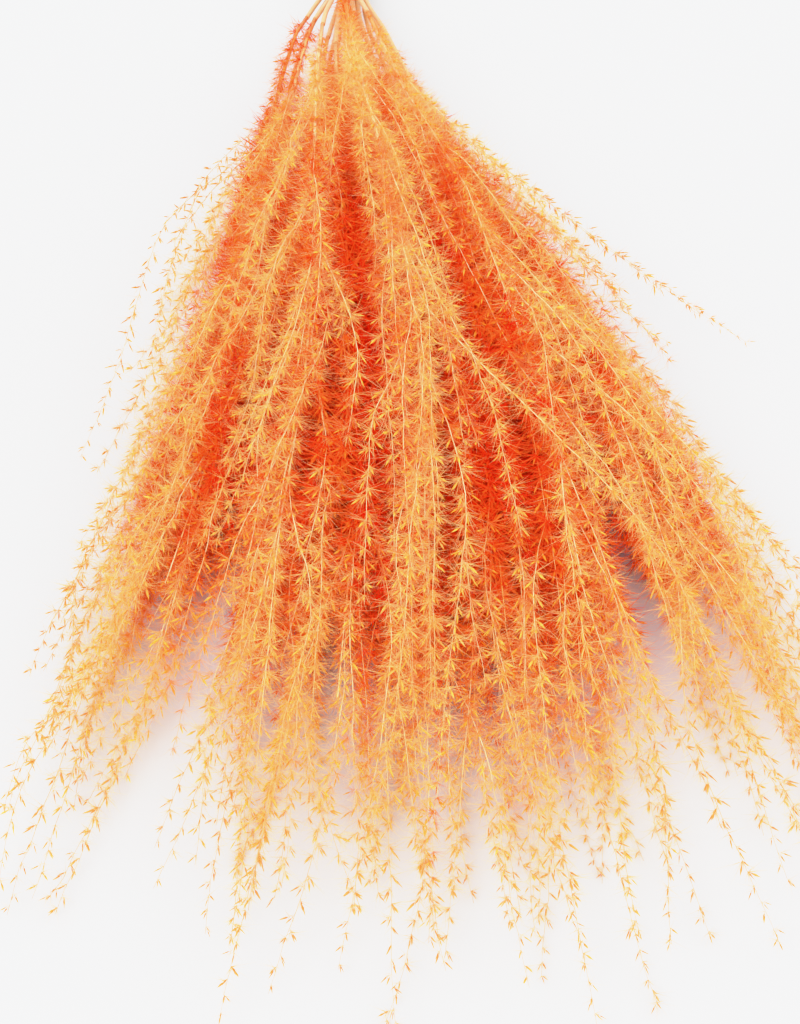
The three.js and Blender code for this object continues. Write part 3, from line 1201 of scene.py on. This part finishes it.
class PAMPAS_OT_tie(bpy.types.Operator):
    """Wind the raffia round the stems"""

    bl_idname = "pampas.tie"
    bl_label = "Tie"

    sides = 12  # round the strand
    squareness = 0.6  # 1 leaves the strand oval, and less makes it flatter
    steps_per_turn = 44
    start_angle = math.radians(-60)  # of the strand's ends, round the bundle
    wobble = 0.012  # of the strand's distance from the bundle's middle
    drift = 0.16 * MM  # of the strand along the bundle

    def execute(self, context):
        settings = context.scene.pampas_tie
        low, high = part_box("tie")
        middle = (low + high) / 2
        outer = (high.x - low.x) / 2
        turns = settings.turns
        width = (high.y - low.y) / (turns + 1)
        bm = bmesh.new()
        made = bmesh.ops.create_circle(bm, segments=self.sides, radius=1)["verts"]
        for vert in made:
            for axis, half in enumerate((settings.thickness / 2, width * 0.49)):
                flat = abs(vert.co[axis]) ** self.squareness
                vert.co[axis] = math.copysign(flat, vert.co[axis]) * half
        first = Vector((settings.thickness / 2 - outer, low.y + width / 2 - middle.y, 0))
        bmesh.ops.translate(bm, vec=first, verts=made)
        steps = turns * self.steps_per_turn
        bmesh.ops.spin(
            bm,
            geom=made + bm.edges[:],
            cent=(0, 0, 0),
            axis=(0, 1, 0),
            dvec=(0, (high.y - low.y - width) / steps, 0),
            angle=2 * math.pi * turns,
            steps=steps,
        )
        ends = [edge for edge in bm.edges if edge.is_boundary]
        bmesh.ops.holes_fill(bm, edges=ends)
        bmesh.ops.recalc_face_normals(bm, faces=bm.faces[:])
        for vert in bm.verts:
            angle = math.atan2(vert.co.z, vert.co.x)
            turn = vert.co.y / width
            vert.co.xz *= 1 + self.wobble * math.sin(3 * angle + turn) * math.sin(7 * angle)
            vert.co.y += self.drift * math.sin(2 * angle + 1.7 * turn)
        bmesh.ops.rotate(bm, matrix=Matrix.Rotation(self.start_angle, 3, "Y"), verts=bm.verts)
        bmesh.ops.translate(bm, vec=middle, verts=bm.verts)
        for face in bm.faces:
            face.smooth = len(face.verts) == 4
        mesh = bpy.data.meshes.new("tie_wound")
        bm.to_mesh(mesh)
        bm.free()
        dark = [c * 0.5 for c in settings.raffia]
        mesh.materials.append(
            streaked_material("raffia", dark, settings.raffia, 0.8, (60, 2600, 60))
        )
        piece = new_object("tie_wound", mesh)
        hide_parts("tie")
        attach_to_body(piece, "root")
        return {"FINISHED"}


class PAMPAS_PT_panel(bpy.types.Panel):
    """The bundle's settings and the buttons that build it"""

    bl_label = "Pampas Grass Bundle"
    bl_idname = "PAMPAS_PT_panel"
    bl_space_type = "VIEW_3D"
    bl_region_type = "UI"
    bl_category = "Pampas"

    def draw(self, context):
        for operator, group in STEPS:
            box = self.layout.box()
            settings = getattr(context.scene, group)
            for name in settings.bl_rna.properties.keys():
                if name not in ("rna_type", "name"):
                    box.prop(settings, name)
            box.operator(operator.bl_idname)


STEPS = (
    (PAMPAS_OT_stage, "pampas_stage"),
    (PAMPAS_OT_stems, "pampas_stems"),
    (PAMPAS_OT_tie, "pampas_tie"),
    (PAMPAS_OT_plumes, "pampas_plumes"),
)
SETTINGS = {
    "pampas_stage": StageSettings,
    "pampas_stems": StemSettings,
    "pampas_tie": TieSettings,
    "pampas_plumes": PlumeSettings,
}


def register():
    for name, settings in SETTINGS.items():
        bpy.utils.register_class(settings)
        setattr(bpy.types.Scene, name, PointerProperty(type=settings))
    for operator, _ in STEPS:
        bpy.utils.register_class(operator)
    bpy.utils.register_class(PAMPAS_PT_panel)


def unregister():
    bpy.utils.unregister_class(PAMPAS_PT_panel)
    for operator, _ in reversed(STEPS):
        bpy.utils.unregister_class(operator)
    for name, settings in SETTINGS.items():
        delattr(bpy.types.Scene, name)
        bpy.utils.unregister_class(settings)


def main():
    register()
    for operator, _ in STEPS:
        module, name = operator.bl_idname.split(".")
        getattr(getattr(bpy.ops, module), name)()
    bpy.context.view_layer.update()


if __name__ == "__main__":
    main()
